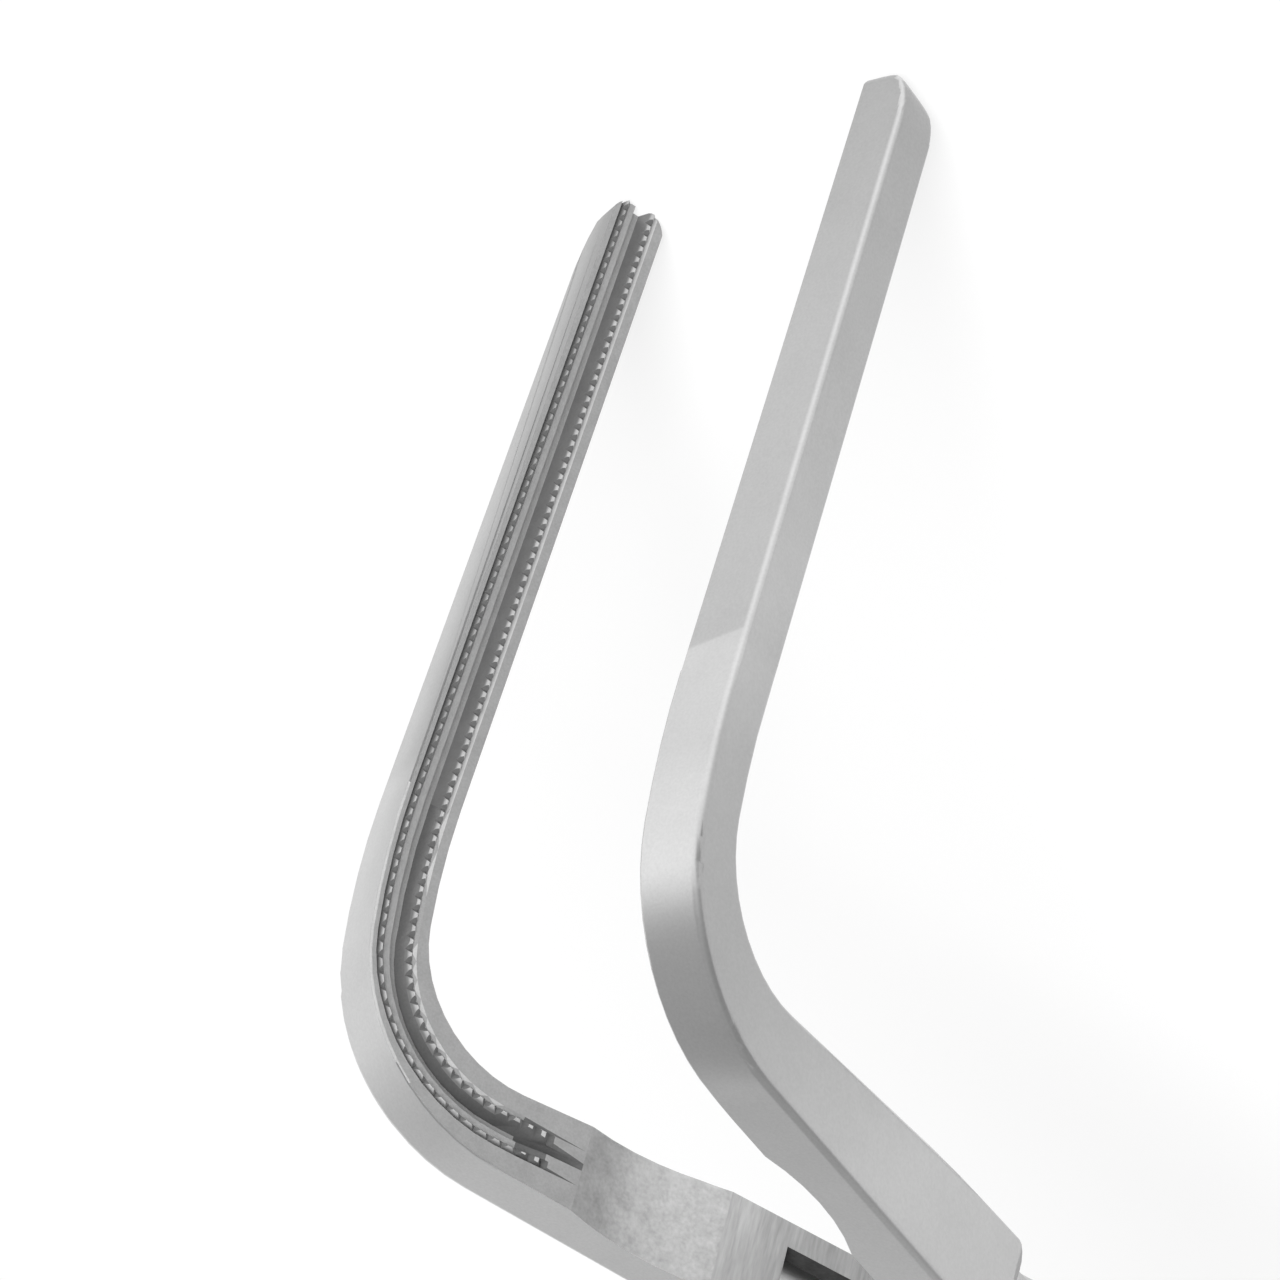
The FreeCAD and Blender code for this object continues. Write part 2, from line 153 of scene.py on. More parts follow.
def start_editing(piece):
    let_go()
    bpy.context.view_layer.objects.active = piece
    piece.select_set(True)
    bpy.ops.object.mode_set(mode="EDIT")
    bpy.ops.mesh.select_all(action="SELECT")


def clean_copy(node, name):
    copy = bpy.data.objects.new(name, frame["nodes"][node].data.copy())
    bpy.context.scene.collection.objects.link(copy)
    start_editing(copy)
    bpy.ops.mesh.remove_doubles(threshold=MERGE)
    bpy.ops.mesh.dissolve_limited(angle_limit=FLAT)
    bpy.ops.object.mode_set(mode="OBJECT")
    print(name, "has", len(copy.data.polygons), "faces")
    return copy


# %% [markdown]
# Not all edges are equally sharp. The handles are forged round, the corner where
# the passing arm enters the box is rounded, and the outer edge of each face is
# stoned. These three are picked by their place in the drawn arm and bevelled in
# edit mode. What is left later gets one fine bevel from a modifier.

# %% Pick edges and bevel them
PICK_ANGLE = math.radians(20)


def bevel_picked(piece, pose, wanted, width, segments):
    """Bevel the sharp edges whose two drawn ends both satisfy the rule."""
    back = pose.inverted()
    start_editing(piece)
    bpy.ops.mesh.select_all(action="DESELECT")
    mesh = bmesh.from_edit_mesh(piece.data)
    picked = 0
    for edge in mesh.edges:
        if len(edge.link_faces) != 2 or edge.calc_face_angle() < PICK_ANGLE:
            continue
        if all(wanted(back @ vertex.co / MM) for vertex in edge.verts):
            edge.select_set(True)
            picked += 1
    bmesh.update_edit_mesh(piece.data)
    if picked:
        bpy.ops.mesh.bevel(
            offset=width * MM, segments=segments, affect="EDGES", clamp_overlap=False
        )
    bpy.ops.object.mode_set(mode="OBJECT")
    print(piece.name, wanted.__name__, picked, "edges")


# %% Where each kind of edge lies
BOX_BACK = -12.0
RATCHET_ROOT = (-62.0, -56.2)
HALF_JAW = 1.025
TIP_LENGTH = 2.4
TEETH_END = 19.4
SHOULDER_SPAN = (7.5, 7.67)
SHOULDER_CORNER = (1.9, 1.0)
ON_LINE = 0.01


def on_handle(point):
    """On the shank or the ring, and off the ratchet bar and its root."""
    at_root = RATCHET_ROOT[0] + ON_LINE < point.x < RATCHET_ROOT[1] - ON_LINE
    return point.x < BOX_BACK and not at_root


def on_shoulder(point):
    """On the corner where the passing arm steps in to enter the box."""
    in_span = SHOULDER_SPAN[0] < point.x < SHOULDER_SPAN[1]
    return in_span and abs(point.y) > SHOULDER_CORNER[0] and abs(point.z) > SHOULDER_CORNER[1]


def on_outer_edge(point):
    """On the edge between the gripping face and the outer wall."""
    along, across, depth, _ = arm_place(point, math.copysign(1, point.y))
    on_edge = abs(across + HALF_JAW) < 2 * ON_LINE or (along < JAW_FROM and across < -HALF_JAW)
    return TEETH_END < along < ARM_LENGTH - TIP_LENGTH and on_edge and abs(depth) < ON_LINE


print("teeth run from", TEETH_END, "to", round(ARM_LENGTH, 2), "mm along the arm")

# %% [markdown]
# The ratchet bar stands square on its shank, so the shank is cut on both sides of
# the bar and the round of the handle ends at those cuts. The strip of shank that
# lies over the box is cut off from the rest at the front of the box. Then the
# strip's end at the pivot is lowered until it runs out flush with the box.

# %% Slice the shank and blend its root
CUT_SNAP = 1e-7
BOX_HALF = 2.1
BOX_FRONT = 7.3
ROOT_SPAN = (-1.0, 30.0)
ROOT_END = 0.2
ROOT_WIDTH = 2.5


def slice_part(mesh, wanted, point, normal):
    """Cut the faces whose corners all satisfy the rule along one plane."""
    faces = [face for face in mesh.faces if all(wanted(vertex.co) for vertex in face.verts)]
    parts = set(faces)
    for face in faces:
        parts.update(face.edges)
        parts.update(face.verts)
    bmesh.ops.bisect_plane(mesh, geom=list(parts), dist=CUT_SNAP, plane_co=point, plane_no=normal)


def slice_across(mesh, wanted, pose, place):
    """Cut an arm square to its length, at one drawn X in millimetres."""
    point = pose @ (Vector((place, 0, 0)) * MM)
    slice_part(mesh, wanted, point, pose.to_3x3() @ Vector((1, 0, 0)))


def slice_handle(piece, pose):
    """Cut the shank on both sides of the ratchet bar, so that its bevel ends there."""
    back = pose.inverted()
    start_editing(piece)
    mesh = bmesh.from_edit_mesh(piece.data)

    def on_shank(co):
        return (back @ co).x < BOX_BACK * MM

    for place in RATCHET_ROOT:
        slice_across(mesh, on_shank, pose, place)
    bmesh.update_edit_mesh(piece.data)
    bpy.ops.object.mode_set(mode="OBJECT")


def blend_root(piece, pose):
    """Let the shank that lies over the box run out flush at the pivot."""
    back = pose.inverted()
    start_editing(piece)
    mesh = bmesh.from_edit_mesh(piece.data)

    def near_box(co):
        return ROOT_SPAN[0] * MM < (back @ co).x < ROOT_SPAN[1] * MM

    slice_across(mesh, near_box, pose, BOX_FRONT)
    bmesh.update_edit_mesh(piece.data)
    bpy.ops.object.mode_set(mode="OBJECT")
    moved = 0
    for vertex in piece.data.vertices:
        point = back @ vertex.co / MM
        at_end = abs(point.x) < ROOT_END and abs(point.y) < ROOT_WIDTH
        if at_end and abs(point.z) > BOX_HALF + 2 * ON_LINE:
            point.z = math.copysign(BOX_HALF + ON_LINE, point.z)
            vertex.co = pose @ (point * MM)
            moved += 1
    print(piece.name, "root:", moved, "corners moved")


# %% [markdown]
# The tips must not catch on tissue, so their corners were ground round by hand. A
# bevel can't follow that shape. The back of the tip is sliced into small cells
# instead, and the cells are relaxed until the corners between them run round.

# %% Soften the tip
TIP_BACK = 0.56
TIP_CELL = 0.22
TIP_DEPTH_CUTS = 7
TIP_SIDE_CUTS = 4
RELAX = 14
RELAX_SHARE = 0.5
HAIR = 0.001


def soften_tip(piece, pose, side):
    """Slice the back of the tip into cells and relax them."""
    back = pose.inverted()
    turn = pose.to_3x3()
    along_way = turn @ Vector((heading(TURNED).x, 0, heading(TURNED).y))
    across_way = turn @ Vector((inward(TURNED).x, 0, inward(TURNED).y))
    depth_way = turn @ Vector((0, side, 0))
    start_editing(piece)
    bpy.ops.mesh.select_all(action="DESELECT")
    mesh = bmesh.from_edit_mesh(piece.data)

    def drawn(co):
        along, across, depth, _ = arm_place(back @ co / MM, side)
        return along - (ARM_LENGTH - TIP_LENGTH), across, depth - TIP_BACK

    def in_jaw(co):
        return drawn(co)[0] > -JAW + TIP_LENGTH

    def in_tip(co):
        return drawn(co)[0] > -HAIR

    def behind(co):
        along, _, depth = drawn(co)
        return along > -HAIR and depth > -HAIR

    start = pose @ (Vector((SWEEP_END.x, 0, SWEEP_END.y)) * MM)
    start += (along_way * (JAW - TIP_LENGTH) + depth_way * (HALF_GAP + TIP_BACK)) * MM
    slice_part(mesh, in_jaw, start, along_way)
    slice_part(mesh, in_tip, start, depth_way)
    for step in range(1, int(TIP_LENGTH / TIP_CELL) + 1):
        slice_part(mesh, behind, start + along_way * step * TIP_CELL * MM, along_way)
    for step in range(1, TIP_DEPTH_CUTS + 1):
        slice_part(mesh, behind, start + depth_way * step * TIP_CELL * MM, depth_way)
    for step in range(-TIP_SIDE_CUTS, TIP_SIDE_CUTS + 1):
        slice_part(mesh, behind, start + across_way * step * TIP_CELL * MM, across_way)
    for vertex in mesh.verts:
        along, _, depth = drawn(vertex.co)
        vertex.select_set(along > ON_LINE and depth > ON_LINE)
    bmesh.update_edit_mesh(piece.data)
    bpy.ops.mesh.vertices_smooth(factor=RELAX_SHARE, repeat=RELAX)
    bpy.ops.object.mode_set(mode="OBJECT")
    print(piece.name, "tip relaxed,", len(piece.data.polygons), "faces")


# %% [markdown]
# Every sharp edge that is left is broken by 0.03 mm, with a bevel modifier that
# reads a weight from each edge. Two places get no weight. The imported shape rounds
# the ridge behind the jaw with flat facets, and a bevel on them would make kinks,
# so the ridge is shaded smooth instead. The rows run out too thin to be bevelled.

# %% Break the sharp edges
EDGE_BREAK = 0.03 * MM
EDGE_STEPS = 2
SHARP = math.radians(28)
SMOOTH = math.radians(32)
RIDGE_FROM = 9.0
RIDGE_DEPTH = 1.2
RUN_OUT = 2.4
RUN_OUT_START = 0.6
RUN_OUT_DEPTH = 0.6
ROWS_REACH = 0.9


def on_ridge(point):
    """On the ridge between a wall and the back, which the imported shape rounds."""
    along, _, depth, _ = arm_place(point, math.copysign(1, point.y))
    return along > RIDGE_FROM and depth > RIDGE_DEPTH


def in_run_out(point):
    """In the shallow ends of the rows and the groove, too thin to bevel."""
    along, across, depth, _ = arm_place(point, math.copysign(1, point.y))
    near_end = TEETH_END - RUN_OUT_START < along < TEETH_END + RUN_OUT
    return near_end and ON_LINE < depth < RUN_OUT_DEPTH and abs(across) < ROWS_REACH


def break_edges(piece, pose):
    """Take the sharpness off every edge that is left, and smooth the rest."""
    back = pose.inverted()
    mesh = bmesh.new()
    mesh.from_mesh(piece.data)
    weight = mesh.edges.layers.float.new("bevel_weight_edge")
    for edge in mesh.edges:
        if len(edge.link_faces) == 2 and edge.calc_face_angle() > SHARP:
            ends = [back @ vertex.co / MM for vertex in edge.verts]
            edge[weight] = not (all(map(on_ridge, ends)) or any(map(in_run_out, ends)))
    mesh.to_mesh(piece.data)
    mesh.free()
    let_go()
    bpy.context.view_layer.objects.active = piece
    piece.select_set(True)
    bevel = piece.modifiers.new("broken edge", "BEVEL")
    bevel.width = EDGE_BREAK
    bevel.segments = EDGE_STEPS
    bevel.limit_method = "WEIGHT"
    bevel.use_clamp_overlap = True
    bpy.ops.object.modifier_apply(modifier=bevel.name)
    bpy.ops.object.shade_smooth_by_angle(angle=SMOOTH)
    vertices = piece.data.vertices
    for edge in piece.data.edges:
        if all(on_ridge(back @ vertices[index].co / MM) for index in edge.vertices):
            edge.use_edge_sharp = False
    even = piece.modifiers.new("flat stays flat", "WEIGHTED_NORMAL")
    even.keep_sharp = True
    bpy.ops.object.modifier_apply(modifier=even.name)
    print(piece.name, "softened:", len(piece.data.polygons), "faces")


# %% Make the three pieces of the clamp
HANDLE_ROUND = {"width": 0.36, "segments": 3}
SHOULDER_ROUND = {"width": 0.45, "segments": 4}
EDGE_STONED = {"width": 0.08, "segments": 2}
BODIES = {"box_arm": "box_side", "passing_arm": "passing_side", "pivot_pin": "box_side"}
pieces = {}
for node, body in BODIES.items():
    piece = clean_copy(node, node + "_ground")
    if node in SIDES:
        blend_root(piece, POSES[node])
        slice_handle(piece, POSES[node])
        bevel_picked(piece, POSES[node], on_handle, **HANDLE_ROUND)
        soften_tip(piece, POSES[node], SIDES[node])
        bevel_picked(piece, POSES[node], on_shoulder, **SHOULDER_ROUND)
        bevel_picked(piece, POSES[node], on_outer_edge, **EDGE_STONED)
    break_edges(piece, POSES[node])
    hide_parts(node)
    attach(piece, body)
    pieces[node] = piece

# %% [markdown]
# Surgical steel is rarely one finish all over. The body is satin: blasted with
# fine beads and brushed, so that it doesn't dazzle. The toothed faces stay as the
# cutter and the stone left them, which is darker. Each finish is a metal whose
# colour and roughness change a little from place to place. That unevenness is
# one effect in many finishes, so it is a node group, built once.

# %% A group for fine unevenness
def new_group(name, inputs, outputs):
    """Empty node group with named sockets, given as (name, kind, value)."""
    group = bpy.data.node_groups.new(name, "ShaderNodeTree")
    for label, kind, value in inputs:
        socket = group.interface.new_socket(name=label, in_out="INPUT", socket_type="NodeSocket" + kind)
        if value is not None:
            socket.default_value = value
    for label, kind in outputs:
        group.interface.new_socket(name=label, in_out="OUTPUT", socket_type="NodeSocket" + kind)
    return group, group.nodes.new("NodeGroupInput"), group.nodes.new("NodeGroupOutput")


def add(tree, kind, **settings):
    """Add a node and set its properties."""
    node = tree.nodes.new("ShaderNode" + kind)
    for name, value in settings.items():
        setattr(node, name, value)
    return node


def maths(tree, operation, first, second):
    """Math node whose two values are sockets or numbers."""
    node = add(tree, "Math", operation=operation)
    for socket, value in zip(node.inputs, (first, second)):
        if isinstance(value, (int, float)):
            socket.default_value = value
        else:
            tree.links.new(value, socket)
    return node.outputs[0]


def uneven_group():
    """Grain from the blasting beads over slow clouds from the hand polishing."""
    inputs = [
        ("Place", "Vector", None),
        ("Stretch", "Vector", (1, 1, 1)),
        ("Grain Size", "Float", 0.1),
        ("Grain", "Float", 0.1),
        ("Cloud Size", "Float", 2.0),
        ("Cloud", "Float", 0.1),
    ]
    group, given, result = new_group("uneven_steel", inputs, [("Tone", "Float"), ("Height", "Float")])
    stretch = add(group, "VectorMath", operation="MULTIPLY")
    group.links.new(given.outputs["Place"], stretch.inputs[0])
    group.links.new(given.outputs["Stretch"], stretch.inputs[1])
    tone = 1.0
    for size, share, detail in (("Grain Size", "Grain", 2.0), ("Cloud Size", "Cloud", 3.0)):
        noise = add(group, "TexNoise", noise_dimensions="3D")
        noise.inputs["Detail"].default_value = detail
        group.links.new(stretch.outputs[0], noise.inputs["Vector"])
        group.links.new(maths(group, "DIVIDE", 1.0, given.outputs[size]), noise.inputs["Scale"])
        swing = maths(group, "SUBTRACT", noise.outputs["Fac"], 0.5)
        tone = maths(group, "ADD", tone, maths(group, "MULTIPLY", swing, given.outputs[share]))
        if share == "Grain":
            group.links.new(noise.outputs["Fac"], result.inputs["Height"])
    group.links.new(tone, result.inputs["Tone"])
    return group


UNEVEN = uneven_group()
print("group", UNEVEN.name, "with", len(UNEVEN.nodes), "nodes")

# %% [markdown]
# A finish is placed in the drawn arm, in millimetres, because its borders follow
# the arm. A Mapping node brings Object coordinates back to the drawn arm. Its
# location and rotation come from the inverse of the arm's matrix, and its scale
# turns metres into millimetres.

# %% Bring a material back to the drawn arm
def drawn_place(tree, pose):
    """Socket with the place in the drawn arm, in millimetres."""
    back = pose.inverted()
    coordinates = add(tree, "TexCoord")
    mapping = add(tree, "Mapping", vector_type="POINT")
    mapping.inputs["Location"].default_value = back.translation / MM
    mapping.inputs["Rotation"].default_value = back.to_euler()
    mapping.inputs["Scale"].default_value = (1 / MM,) * 3
    tree.links.new(coordinates.outputs["Object"], mapping.inputs["Vector"])
    return mapping.outputs["Vector"]


def ramp(tree, value, low, high, at_low, at_high):
    """Smooth change of a number while a value goes from low to high."""
    node = add(tree, "MapRange", interpolation_type="SMOOTHSTEP")
    tree.links.new(value, node.inputs["Value"])
    names = ("From Min", "From Max", "To Min", "To Max")
    for name, number in zip(names, (low, high, at_low, at_high)):
        if isinstance(number, (int, float)):
            node.inputs[name].default_value = number
        else:
            tree.links.new(number, node.inputs[name])
    return node.outputs["Result"]


# %% [markdown]
# Every finish is built by one function: a metal whose base colour is a grey times
# the unevenness. A little of the grain also goes to a Bump node, so highlights
# break up as they do on blasted steel.

# %% A function for one steel finish
BUMP_DEPTH = 0.02
EVEN = (1, 1, 1)


def steel(name, pose, grey, rough, grain, cloud, stretch=EVEN, bump=0.1, mirror=1.0):
    """Metal finish; grain and cloud are (size in mm, strength).

    Mirror is how far it reflects like a metal: 1 is all metal, 0 is none.
    """
    material = bpy.data.materials.new(name)
    material.use_nodes = True
    tree = material.node_tree
    shader = tree.nodes["Principled BSDF"]
    shader.inputs["Metallic"].default_value = mirror
    place = drawn_place(tree, pose)
    uneven = add(tree, "Group", node_tree=UNEVEN)
    tree.links.new(place, uneven.inputs["Place"])
    uneven.inputs["Stretch"].default_value = stretch
    uneven.inputs["Grain Size"].default_value, uneven.inputs["Grain"].default_value = grain
    uneven.inputs["Cloud Size"].default_value, uneven.inputs["Cloud"].default_value = cloud
    if callable(grey):
        grey = grey(tree, place)
    if callable(rough):
        rough = rough(tree, place)
    level = maths(tree, "MULTIPLY", uneven.outputs["Tone"], grey)
    colour = add(tree, "CombineColor")
    for channel in ("Red", "Green", "Blue"):
        tree.links.new(level, colour.inputs[channel])
    tree.links.new(colour.outputs["Color"], shader.inputs["Base Color"])
    tree.links.new(maths(tree, "DIVIDE", rough, uneven.outputs["Tone"]), shader.inputs["Roughness"])
    relief = add(tree, "Bump")
    relief.inputs["Strength"].default_value = bump
    relief.inputs["Distance"].default_value = BUMP_DEPTH * MM
    tree.links.new(uneven.outputs["Height"], relief.inputs["Height"])
    tree.links.new(relief.outputs["Normal"], shader.inputs["Normal"])
    return material


# %% [markdown]
# The body's grey isn't even along the arm. Its greys hold finish and painted light
# together: the tips are darkest, the bend is brighter partly from polish and partly
# as a painted highlight, and the backs are duller than the walls partly as painted
# shade. A few stops along the arm set that grey for each arm and side. On the near
# arm the polishing stops at a slanted border across the wall, and the jaw beyond it
# is blasted matt.

# %% Grey along the arm
SPAN = 70.0
WALL_STOPS = {
    "box_arm": ((8, 0.74), (22, 0.76), (27, 0.66), (34, 0.62), (48, 0.6), (64, 0.5)),
    "passing_arm": (
        (8, 0.66), (20, 0.56), (26, 0.68), (31, 0.7),
        (36, 0.54), (43, 0.55), (52, 0.55), (64, 0.46),
    ),
}
BACK_STOPS = {
    "box_arm": ((8, 0.6), (20, 0.54), (28, 0.46), (41, 0.5), (64, 0.45)),
    "passing_arm": (
        (8, 0.51), (15, 0.52), (21, 0.45), (27, 0.4),
        (35, 0.43), (41, 0.52), (47, 0.48), (64, 0.4),
    ),
}
BORDER_AT = 10.8
BORDER_SLANT = 0.25
BORDER_BLUR = 0.1
POLISH_LIFT = 0.1
RIDGE_HIGHLIGHT_GREY = 0.74


def axis_value(tree, place, axis):
    split = add(tree, "SeparateXYZ")
    tree.links.new(place, split.inputs[0])
    return split.outputs[axis]


def grey_along(tree, along, stops):
    """Grey from stops of (X + Z in the drawn arm, grey)."""
    node = add(tree, "ValToRGB")
    elements = node.color_ramp.elements
    while len(elements) < len(stops):
        elements.new(0.5)
    for element, (where, grey) in zip(elements, stops):
        element.position = where / SPAN
        element.color = (grey, grey, grey, 1)
    tree.links.new(maths(tree, "DIVIDE", along, SPAN), node.inputs["Fac"])
    return node.outputs["Color"]


def mixed(tree, share, first, second):
    """First where the share is 0, second where it is 1."""
    node = add(tree, "Mix", data_type="FLOAT")
    for name, value in (("Factor", share), ("A", first), ("B", second)):
        if isinstance(value, (int, float)):
            node.inputs[name].default_value = value
        else:
            tree.links.new(value, node.inputs[name])
    return node.outputs["Result"]


def facing_share(tree, pose):
    """1 where the surface looks along the closing direction, as a back does."""
    coordinates = add(tree, "TexCoord")
    closing = add(tree, "VectorMath", operation="DOT_PRODUCT")
    closing.inputs[1].default_value = pose.to_3x3() @ Vector((0, 1, 0))
    tree.links.new(coordinates.outputs["Normal"], closing.inputs[0])
    return maths(tree, "ABSOLUTE", closing.outputs["Value"], 0.0)


# %% Finish of the arm's body
FACE_SIDE_SHADE = 0.72
SHADE_DEPTH = 1.8
SHADE_FADE = (28.0, 44.0)
BACK_FACING = (0.4, 0.9)
RIDGE_FACING = (0.2, 0.6, 0.95)
RIDGE_HIGHLIGHT_FADE = (27.0, 40.0)
MATT = 0.42
POLISHED = 0.3
POLISH_FADE = 0.5


def body_grey(node, tree, place):
    """Grey of the walls and the back, with a painted highlight along the ridge between them."""
    height = axis_value(tree, place, "Z")
    depth = maths(tree, "ABSOLUTE", axis_value(tree, place, "Y"), 0.0)
    along = maths(tree, "ADD", axis_value(tree, place, "X"), height)
    wall = grey_along(tree, along, WALL_STOPS[node])
    if node == "passing_arm":
        border = maths(tree, "ADD", height, maths(tree, "MULTIPLY", depth, -BORDER_SLANT))
        span = (BORDER_AT - BORDER_BLUR, BORDER_AT + BORDER_BLUR)
        polished = ramp(tree, border, *span, POLISH_LIFT, 0.0)
        wall = maths(tree, "ADD", wall, polished)
    else:
        # On the far arm the wall is painted darker near the toothed face along the jaw, as painted
        # shade.
        shade = ramp(tree, depth, 0.0, SHADE_DEPTH, FACE_SIDE_SHADE, 1.0)
        upper = ramp(tree, along, *SHADE_FADE, 1.0, shade)
        wall = maths(tree, "MULTIPLY", wall, upper)
    facing = facing_share(tree, POSES[node])
    back_share = ramp(tree, facing, *BACK_FACING, 0.0, 1.0)
    # The backs, picked by the way they face, take duller greys: partly their finish, partly painted
    # shade.
    grey = mixed(tree, back_share, wall, grey_along(tree, along, BACK_STOPS[node]))
    # Painted highlight: the rounded ridge is painted brighter along the jaw, fading out towards the
    # bend, in place of the lamp's reflection.
    low, peak, high = RIDGE_FACING
    rise = ramp(tree, facing, low, peak, 0.0, 1.0)
    ridge_highlight = maths(tree, "MULTIPLY", rise, ramp(tree, facing, peak, high, 1.0, 0.0))
    ridge_highlight = maths(tree, "MULTIPLY", ridge_highlight, ramp(tree, along, *RIDGE_HIGHLIGHT_FADE, 0.0, 1.0))
    return mixed(tree, ridge_highlight, grey, RIDGE_HIGHLIGHT_GREY)


def body_finish(node):
    def grey(tree, place):
        return body_grey(node, tree, place)

    def rough(tree, place):
        height = axis_value(tree, place, "Z")
        return ramp(tree, height, BORDER_AT - POLISH_FADE, BORDER_AT + POLISH_FADE, POLISHED, MATT)

    return steel(node + "_satin", POSES[node], grey, rough, grain=(0.1, 0.16), cloud=(1.6, 0.08))


# %% [markdown]
# The working side was cut and blasted, not polished. A blasted surface is so rough
# that it scatters light almost like plaster, so these finishes mirror only a
# little. The lands are a darker grey with coarse grain. The groove and the notches
# between the teeth are painted darker still, as painted shade in their depths. The
# crests of the teeth and the lips of the grooves are painted light, as painted
# highlights, so they show as rows of small dots and thin lines.

# %% Finishes of the jaw's working side
CUT_MIRROR = 0.3
GROOVE_GREY = 0.15
GROOVE_LOW_GREY = 0.1
GROOVE_FADE = (24.0, 34.0)
GROOVE_DEPTHS = (0.05, 0.45)
GROOVE_SHADES = (1.05, 0.75)
CREST_DEPTHS = (0.04, 0.18)
CREST_GREYS = (0.42, 0.16)
RELIEF_FADE = (16.0, 19.4)
RELIEF_GREYS = (0.41, 0.25)
FLAT_FADE = (10.5, 14.0)
FLAT_GREYS = (0.28, 0.37)


def groove_shade_grey(tree, place):
    """Painted shade: darker towards the shank, and darker the deeper it lies."""
    along = maths(tree, "ADD", axis_value(tree, place, "X"), axis_value(tree, place, "Z"))
    depth = maths(tree, "ABSOLUTE", axis_value(tree, place, "Y"), 0.0)
    grey = ramp(tree, along, *GROOVE_FADE, GROOVE_LOW_GREY, GROOVE_GREY)
    return maths(tree, "MULTIPLY", grey, ramp(tree, depth, *GROOVE_DEPTHS, *GROOVE_SHADES))


def crest_highlight_grey(tree, place):
    """Painted highlight on the tops of the teeth, fading to painted shade down their flanks."""
    depth = maths(tree, "ABSOLUTE", axis_value(tree, place, "Y"), 0.0)
    return ramp(tree, depth, *CREST_DEPTHS, *CREST_GREYS)


def relief_grey(tree, place):
    """Darker at the end where the cutter ran in from the teeth."""
    return ramp(tree, axis_value(tree, place, "X"), *RELIEF_FADE, *RELIEF_GREYS)


def flat_grey(tree, place):
    """Ground flat, darker towards the box."""
    return ramp(tree, axis_value(tree, place, "X"), *FLAT_FADE, *FLAT_GREYS)


COARSE = {"grain": (0.08, 0.3), "cloud": (0.7, 0.25)}
CUT_LOOKS = {
    "face": {"grey": 0.27, "rough": 0.42, **COARSE},
    "groove": {"grey": groove_shade_grey, "rough": 0.5, **COARSE},
    # The notches are painted near black, as painted shadow between the teeth.
    "notch": {"grey": 0.13, "rough": 0.5, **COARSE},
    "crest": {"grey": crest_highlight_grey, "rough": 0.35, "grain": (0.08, 0.2), "cloud": (0.8, 0.4)},
    # The lips are painted light, as painted highlights along the edges of the grooves and the rim.
    "lip": {"grey": 0.42, "rough": 0.38, "grain": (0.08, 0.3), "cloud": (1.5, 0.4)},
    "relief": {"grey": relief_grey, "rough": 0.6, "grain": (0.14, 0.4), "cloud": (0.6, 0.45)},
    "ground_flat": {"grey": flat_grey, "rough": 0.5, "grain": (0.1, 0.5), "cloud": (0.5, 0.35)},
    # The slot of the box is painted near black, as painted shade inside it.
    "slot": {"grey": 0.07, "rough": 0.5, "grain": (0.1, 0.5), "cloud": (0.6, 0.8)},
}
CUT_LOOKS["relief"]["bump"] = 0.2
CUT_LOOKS["ground_flat"]["stretch"] = (1, 1, 0.12)


def jaw_finishes(node):
    """The finishes of an arm by name, in the order of its material slots."""
    finishes = {"body": body_finish(node)}
    for kind, look in CUT_LOOKS.items():
        finishes[kind] = steel(node + "_" + kind, POSES[node], mirror=CUT_MIRROR, **look)
    return finishes


print("finishes of the working side:", ", ".join(CUT_LOOKS))

# %% [markdown]
# A finish starts and ends at the edges of the form, so each face of the mesh is
# given its finish by where it is in the drawn arm: how far along, how far across,
# how deep it lies below the gripping face, and which way it looks.

# %% Give each face its finish
RELIEF_LENGTH = 5.4
SETBACK = {"box_arm": 0.0, "passing_arm": 0.4}
ROWS = {"box_arm": (-0.573, 0.494), "passing_arm": (-0.04,)}
CREST_AT = {"box_arm": 0.0, "passing_arm": -0.2}
LIPS = {"box_arm": ((-0.80, 0.0), (-0.20, 0.22), (0.67, 0.0)), "passing_arm": ()}
ROW_HALF = 0.17
CREST_HALF = 0.08
CREST_FROM = 1.2
CREST_DEPTH = 0.22
LIP_HALF = 0.05
RIM = 0.12
GROOVE_SPAN = (-0.19, 0.4)
GROOVE_FROM = 0.06
GROOVE_END_FROM = 0.03
SLOT_BOX = (11.65, 0.97, 0.955)
BODY_END = 7.5
FACE_DEPTH = 0.7
LEANS = 0.3
RIM_LEANS = 0.25
LOOKS_OUT = 0.5
STRAIGHT_OUT = 0.97


def tooth_finish(node, place, out, lengthwise):
    """Finish of a face on the toothed part of the jaw."""
    along, across, depth, _ = place
    for row in ROWS[node]:
        if abs(across - row) < ROW_HALF and abs(lengthwise) > LEANS:
            return "notch"
        near_row = row - ROW_HALF < across < row + CREST_HALF and along > TEETH_END + CREST_FROM
        if near_row and depth < CREST_AT[node] + CREST_DEPTH and out > LEANS:
            return "crest"
    for at, deep in LIPS[node]:
        on_lip = abs(across - at) < LIP_HALF and abs(depth - deep) < LIP_HALF
        if on_lip and LEANS < out < STRAIGHT_OUT:
            return "lip"
    if node == "box_arm" and GROOVE_SPAN[0] < across < GROOVE_SPAN[1] and depth > GROOVE_FROM:
        return "groove"
    if abs(across + HALF_JAW) < RIM and depth < RIM and RIM_LEANS < out < STRAIGHT_OUT:
        return "lip"
    if out > LOOKS_OUT or abs(across) < ROWS_REACH:
        return "face"
    return "body"


